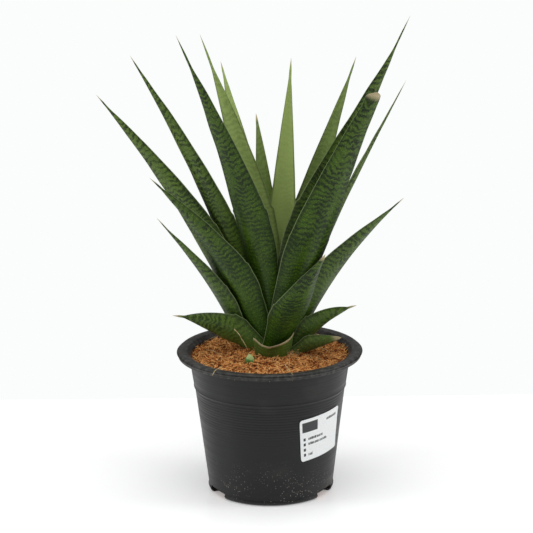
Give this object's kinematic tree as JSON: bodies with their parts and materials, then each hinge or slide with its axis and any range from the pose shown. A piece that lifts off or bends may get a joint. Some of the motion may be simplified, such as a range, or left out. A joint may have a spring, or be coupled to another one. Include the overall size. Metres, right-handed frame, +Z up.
{
  "type": "potted snake plant",
  "caption": "Snake plant with a rosette of pointed, channelled, dark-banded leaves in a round tapered black plastic nursery pot filled with coir, with a paper label on the wall.",
  "frame": {"origin": "centre of the pot's flat underside, on the surface that the pot stands on", "axes": "+Z up along the pot's axis; -Y is the front, with the label to the right of it; +X to the right seen from the front"},
  "size_m": [0.2538, 0.1652, 0.3938],
  "materials": {
    "pot_plastic": "black moulded polypropylene, satin, with fine turning rings and light dust",
    "coir": "loose orange-brown coir fibre and crumbs",
    "rhizome_skin": "pale woody skin, dull",
    "leaf_banded": "waxy green leaf with wavy near-black cross bands and a thin pale margin",
    "shoot_skin": "young green leaf skin with a pale tip",
    "label_paper": "white coated label paper with plain printed marks"
  },
  "bodies": {
    "root": {"pot": "pot_plastic", "coir_substrate": "coir", "rhizome": "rhizome_skin", "leaf_broad_front_left": "leaf_banded", "leaf_olive_left": "leaf_banded", "leaf_pale_back_left": "leaf_banded", "leaf_small_back": "leaf_banded", "leaf_upright_back": "leaf_banded", "leaf_thin_back_right": "leaf_banded", "leaf_tall_right": "leaf_banded", "leaf_broad_front_right": "leaf_banded", "leaf_thin_right": "leaf_banded", "leaf_low_right": "leaf_banded", "leaf_short_front": "leaf_banded", "leaf_arching_right": "leaf_banded", "leaf_lying_right": "leaf_banded", "leaf_lying_left": "leaf_banded", "leaf_short_left": "leaf_banded", "leaf_banded_left": "leaf_banded", "leaf_long_left": "leaf_banded", "leaf_arched_left": "leaf_banded", "leaf_short_back_left": "leaf_banded", "leaf_short_back_right": "leaf_banded", "leaf_cut_base_front": "leaf_banded", "offset_shoot": "shoot_skin", "plant_label": "label_paper"}
  },
  "joints": []
}
